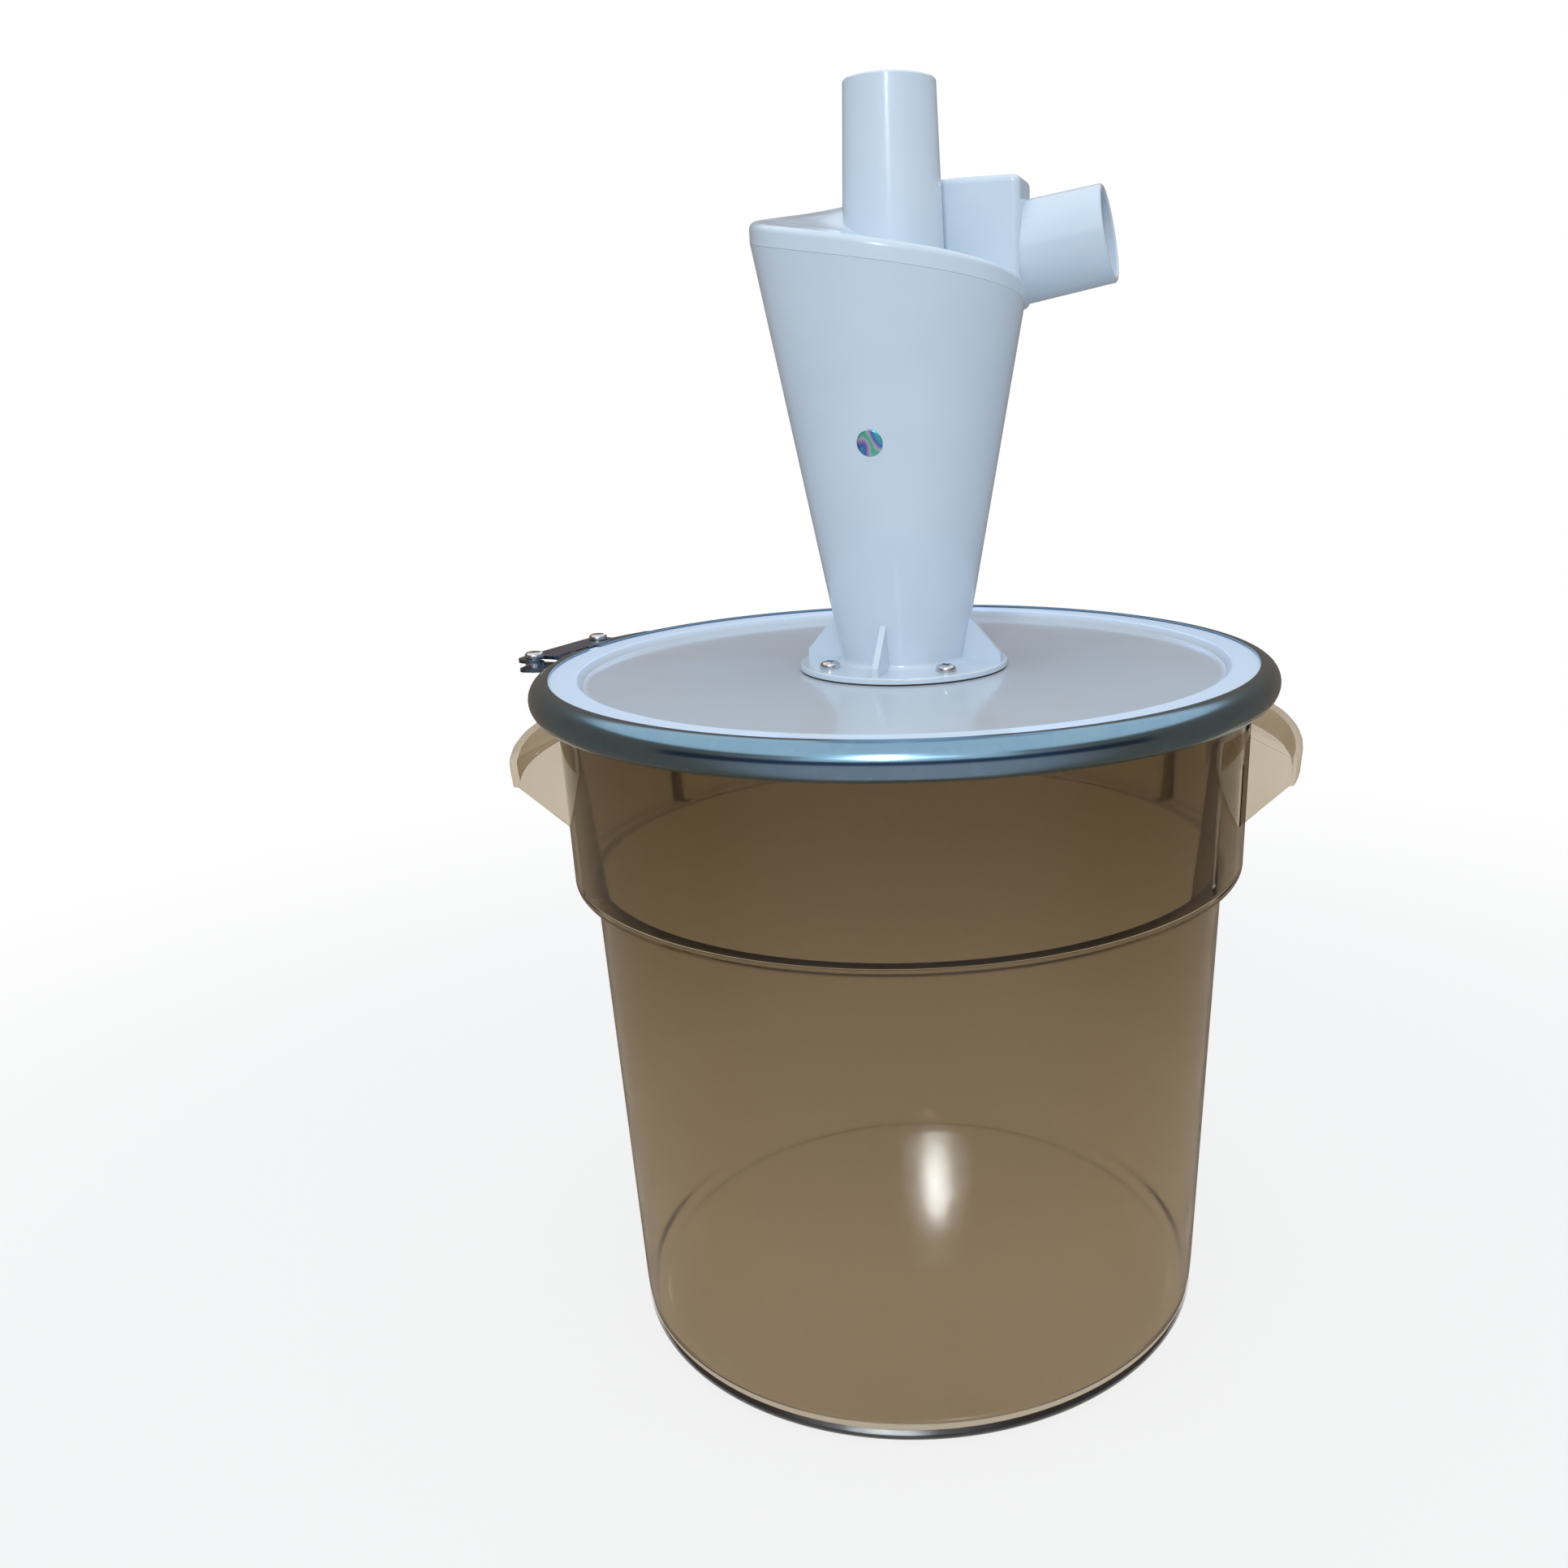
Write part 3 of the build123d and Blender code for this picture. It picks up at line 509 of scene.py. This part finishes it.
def makeSteel(name, spec):
    material, tree, shader, place = newFinish(name)
    cells = addNode(tree, "ShaderNodeTexVoronoi")
    setInputs(cells, {"Scale": spec["spangleScale"]})
    tree.links.new(place, cells.inputs["Vector"])
    grey = addNode(tree, "ShaderNodeRGBToBW")
    tree.links.new(cells.outputs["Color"], grey.inputs[0])
    colour = mixColour(tree, grey.outputs[0], spec["dark"], spec["pale"])
    tree.links.new(colour, shader.inputs["Base Color"])
    setInputs(shader, {"Metallic": 1.0})
    radius, height = roundCoords(tree, place)
    drawn = addNode(tree, "ShaderNodeCombineXYZ")   # drawing lines run along the ring
    tree.links.new(radius, drawn.inputs["X"])
    tree.links.new(height, drawn.inputs["Y"])
    lines = noiseOf(tree, drawn.outputs[0], *spec["lineNoise"])
    tree.links.new(spread(tree, lines, *spec["rough"]), shader.inputs["Roughness"])
    if spec["lineBump"]:
        addBump(tree, shader, lines, *spec["lineBump"])
    return material


# Black gasket rubber: matt, a little dusty
gasketRubber = {
    "black": (0.02, 0.02, 0.022, 1.0),
    "dusty": (0.06, 0.058, 0.055, 1.0),
    "dustNoise": (90.0, 4.0),      # scale, detail
    "rough": (0.6, 0.85),
    "grainScale": 500.0,
    "grainBump": (0.2, 0.0002),    # strength, depth in metres
}


def makeRubber(spec):
    material, tree, shader, place = newFinish("gasketRubber")
    dust = noiseOf(tree, place, *spec["dustNoise"])
    noiseColour(tree, shader, dust, spec["black"], spec["dusty"])
    tree.links.new(spread(tree, dust, *spec["rough"]), shader.inputs["Roughness"])
    addBump(tree, shader, noiseOf(tree, place, spec["grainScale"]), *spec["grainBump"])
    return material


# Round foil sticker: wavy bands of teal, blue, violet, silver and green
stickerFoil = {
    "bandScale": 26.0,
    "bandBend": 4.0,
    "bendScale": 2.0,
    "colours": [
        (0.0, (0.10, 0.55, 0.60, 1.0)),
        (0.35, (0.08, 0.20, 0.62, 1.0)),
        (0.6, (0.45, 0.30, 0.70, 1.0)),
        (0.8, (0.55, 0.62, 0.68, 1.0)),
        (1.0, (0.12, 0.60, 0.45, 1.0)),
    ],
    "metal": 0.7,
    "grainNoise": (1500.0, 2.0),   # scale, detail
    "rough": (0.2, 0.35),
}


def makeFoil(spec):
    material, tree, shader, place = newFinish("stickerFoil")
    wave = addNode(tree, "ShaderNodeTexWave", bands_direction="DIAGONAL")
    setInputs(wave, {
        "Scale": spec["bandScale"],
        "Distortion": spec["bandBend"],
        "Detail Scale": spec["bendScale"],
    })
    tree.links.new(place, wave.inputs["Vector"])
    ramp = addNode(tree, "ShaderNodeValToRGB")
    stops = ramp.color_ramp.elements
    for position, colour in spec["colours"][1:-1]:
        stops.new(position)
    for stop, (position, colour) in zip(stops, spec["colours"]):
        stop.position = position
        stop.color = colour
    tree.links.new(wave.outputs["Fac"], ramp.inputs[0])
    tree.links.new(ramp.outputs[0], shader.inputs["Base Color"])
    setInputs(shader, {"Metallic": spec["metal"]})
    grain = noiseOf(tree, place, *spec["grainNoise"])
    tree.links.new(spread(tree, grain, *spec["rough"]), shader.inputs["Roughness"])
    return material


finishes = {
    "whiteMoulding": makeWhiteMoulding(whiteMoulding),
    "lidPlastic": makeLidPlastic(lidPlastic),
    "clearPlastic": makeClearPlastic(clearPlastic),
    "earPlastic": makeEarPlastic(earPlastic),
    "ringSteel": makeSteel("ringSteel", ringSteel),
    "latchSteel": makeSteel("latchSteel", latchSteel),
    "rivetSteel": makeSteel("rivetSteel", rivetSteel),
    "gasketRubber": makeRubber(gasketRubber),
    "stickerFoil": makeFoil(stickerFoil),
}
print("finishes made:", len(finishes))

# Which finish each CAD node takes
nodeFinish = {
    "bucket": "clearPlastic",
    "lid": "lidPlastic",
    "lid_gasket": "gasketRubber",
    "clamp_ring": "ringSteel",
    "hinge_bracket": "latchSteel",
    "catch_bracket": "latchSteel",
    "latch_lever": "latchSteel",
    "latch_link": "latchSteel",
    "pivot_rivet": "rivetSteel",
    "link_rivet": "rivetSteel",
    "catch_pin": "rivetSteel",
    "cyclone_cone": "whiteMoulding",
    "cyclone_head": "whiteMoulding",
    "flange_gasket": "gasketRubber",
    "flange_screws": "rivetSteel",
    "flange_washers": "rivetSteel",
    "flange_nuts": "rivetSteel",
}
for name, finish in nodeFinish.items():
    slots = nodes[name].material_slots
    if len(slots) == 0:
        nodes[name].data.materials.append(finishes[finish])
    for slot in slots:
        slot.material = finishes[finish]
print("nodes dressed:", len(nodeFinish))

# Clear bucket with rounded corners: stands in for the CAD bucket, same outline
bucketForm = {
    # sections: from the axis, height, corner round, all in millimetres
    "outline": [
        (0.0, 0.0, 0.0),
        (164.6, 0.0, 7.0),
        (175.0, 265.5, 1.5),
        (185.4, 265.5, 2.0),
        (187.2, 360.6, 1.5),
        (196.5, 360.6, 1.4),
        (196.5, 366.6, 1.4),
        (184.2, 366.6, 1.0),
        (184.2, 360.6, 0.5),
        (182.4, 268.5, 2.0),
        (172.0, 268.5, 1.2),
        (161.6, 3.5, 12.0),
        (0.0, 3.5, 0.0),
    ],
    "hood": [
        (184.6, 347.7, 0.2),
        (210.0, 336.7, 4.4),
        (208.9, 322.3, 1.2),
        (212.4, 322.0, 1.2),
        (213.7, 339.0, 8.0),
        (186.0, 351.0, 0.2),
    ],
    "web": [
        (184.2, 349.2, 0.2),
        (184.2, 296.0, 0.2),
        (210.7, 322.5, 1.0),
        (210.2, 337.2, 3.0),
        (186.0, 349.2, 0.2),
    ],
    "rib": [
        (172.0, 267.5, 0.2),
        (184.4, 267.5, 0.2),
        (184.4, 350.0, 0.2),
        (180.2, 350.0, 1.0),
    ],
    # angles about the axis, in degrees
    "earMiddles": (-5.0, 175.0),
    "earHalf": 20.0,
    "webInset": 0.15,
    "webAngle": 1.1,
    "ribHalf": 30.0,
    "ribAngle": 1.7,
    # how finely it is divided
    "turns": 288,
    "cornerPoints": {"outline": 9, "hood": 5, "web": 5, "rib": 5},
    "arcPoints": {"hood": 41, "web": 3, "rib": 3},
    "sharpFrom": 38.0,   # degrees between two faces, past which their edge stays sharp
    # the wall takes the first finish, each plate the one of its number
    "finishes": ("clearPlastic", "earPlastic"),
    "finishOf": {"hood": 1, "web": 1, "rib": 0},
}


def roundedCorners(rows, cornerPoints, closed):
    # every corner becomes an arc: its ends lie on the two legs, its middle bulges to the corner
    table = np.array(rows, float) / 1000   # millimetres to metres
    corner = table[:, :2]
    radius = table[:, 2:]
    back = np.roll(corner, 1, 0) - corner
    ahead = np.roll(corner, -1, 0) - corner
    back /= np.linalg.norm(back, axis=1, keepdims=True)
    ahead /= np.linalg.norm(ahead, axis=1, keepdims=True)
    half = np.arccos(np.clip((back * ahead).sum(1, keepdims=True), -1, 1)) / 2
    middle = back + ahead
    middle /= np.linalg.norm(middle, axis=1, keepdims=True)
    centre = corner + middle * radius / np.sin(half)
    first = corner + back * radius / np.tan(half) - centre
    last = corner + ahead * radius / np.tan(half) - centre
    sweep = (math.pi - 2 * half)[:, None, :]
    share = np.linspace(0.0, 1.0, cornerPoints)[None, :, None]
    arcs = np.sin((1 - share) * sweep) * first[:, None] + np.sin(share * sweep) * last[:, None]
    arcs = centre[:, None] + arcs / np.sin(sweep)
    if closed:
        return arcs.reshape(-1, 2)
    return np.concatenate([corner[:1], arcs[1:-1].reshape(-1, 2), corner[-1:]])


def makeWall(spec, materials):
    # wall and floor: the outline turned right round, closed by a fan at each pole
    outline = roundedCorners(spec["outline"], spec["cornerPoints"]["outline"], closed=False)
    around = np.linspace(0.0, 2 * math.pi, spec["turns"], endpoint=False)
    wall, quads = turnSection(outline[1:-1], around, wrap=True, closed=False)
    poles = np.array([[0.0, 0.0, outline[0, 1]], [0.0, 0.0, outline[-1, 1]]])
    count = len(outline) - 2
    column = np.arange(spec["turns"])
    first = column * count
    after = (column + 1) % spec["turns"] * count
    under = np.full_like(column, len(wall))
    below = np.column_stack([under, after, first])
    above = np.column_stack([under + 1, first + count - 1, after + count - 1])
    faces = quads.tolist() + below.tolist() + above.tolist()
    return meshObject("clearBucket", np.concatenate([wall, poles]), faces, materials)


def makePlates(spec, materials):
    # hoods, webs and ribs: closed sections carried over a short arc, capped at both ends
    spans = []
    outer = spec["earHalf"] - spec["webInset"]
    inner = outer - spec["webAngle"]
    for middle in spec["earMiddles"]:
        spans.append(("hood", middle - spec["earHalf"], middle + spec["earHalf"]))
        spans.append(("web", middle - outer, middle - inner))
        spans.append(("web", middle + inner, middle + outer))
        for side in (-1, 1):
            at = middle + side * spec["ribHalf"]
            spans.append(("rib", at - spec["ribAngle"] / 2, at + spec["ribAngle"] / 2))
    points = []
    faces = []
    finishOf = []
    start = 0
    for name, low, high in spans:
        section = roundedCorners(spec[name], spec["cornerPoints"][name], closed=True)
        angles = np.radians(np.linspace(low, high, spec["arcPoints"][name]))
        plate, quads = turnSection(section, angles, wrap=False, closed=True)
        cap = np.arange(len(section))
        faces += (quads + start).tolist()
        faces.append((cap + start).tolist())
        faces.append((cap[::-1] + start + len(plate) - len(section)).tolist())
        finishOf += [spec["finishOf"][name]] * (len(quads) + 2)
        points.append(plate)
        start += len(plate)
    plates = meshObject("bucketEars", np.concatenate(points), faces, materials)
    plates.data.polygons.foreach_set("material_index", finishOf)
    return plates


def makeBucket(spec):
    materials = [finishes[name] for name in spec["finishes"]]
    bucket = makeWall(spec, materials)
    plates = makePlates(spec, materials)
    # one moulding: ears and ribs are fused with the wall
    join = bucket.modifiers.new("join", "BOOLEAN")
    join.operation = "UNION"
    join.solver = "EXACT"
    join.use_self = True
    join.object = plates
    bpy.context.view_layer.update()
    joined = bucket.evaluated_get(bpy.context.evaluated_depsgraph_get())
    fused = bpy.data.meshes.new_from_object(joined)
    bucket.modifiers.clear()
    bucket.data = fused
    bpy.data.objects.remove(plates)
    fused.shade_smooth()
    fused.set_sharp_from_angle(angle=math.radians(spec["sharpFrom"]))
    soften = bucket.modifiers.new("soften", "WEIGHTED_NORMAL")
    soften.keep_sharp = True
    return bucket


clearBucket = makeBucket(bucketForm)
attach(clearBucket, "vessel")
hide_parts("bucket")
print("bucket rounded")

# Foil sticker on the cone's front
foilDisc = {
    "angle": -105.0,               # degrees about the axis
    "height": 0.492,               # metres
    "radius": 0.0066,
    "proud": 0.00012,
    "coneFoot": (0.0332, 0.375),   # radius and height where the cone starts
    "coneGrowth": 0.18274,         # radius gained per height
    "rings": 8,
    "turns": 64,
}


def makeFoilDisc(spec):
    # a flat disc laid on the cone: a point's first part goes round the cone, its second part
    # up the slope, and all but the last ring, which is the edge, stands a little proud
    share = np.append(np.linspace(0.0, 1.0, spec["rings"])[1:], 1.0)
    across, along = polarPoints(share, spec["turns"]).T * spec["radius"]
    proud = np.full(len(across), spec["proud"])
    proud[-spec["turns"]:] = 0.0
    slope = math.atan(spec["coneGrowth"])
    height = spec["height"] + along * math.cos(slope)
    footRadius, footHeight = spec["coneFoot"]
    cone = footRadius + spec["coneGrowth"] * (height - footHeight)
    angle = math.radians(spec["angle"]) + across / cone
    radius = cone + proud
    points = np.column_stack([radius * np.cos(angle), radius * np.sin(angle), height])
    faces = polarFaces(spec["rings"], spec["turns"])
    disc = meshObject("foilSticker", points, faces, [finishes["stickerFoil"]])
    disc.data.shade_smooth()
    return disc


sticker = makeFoilDisc(foilDisc)
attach(sticker, "vessel")
print("sticker laid on")
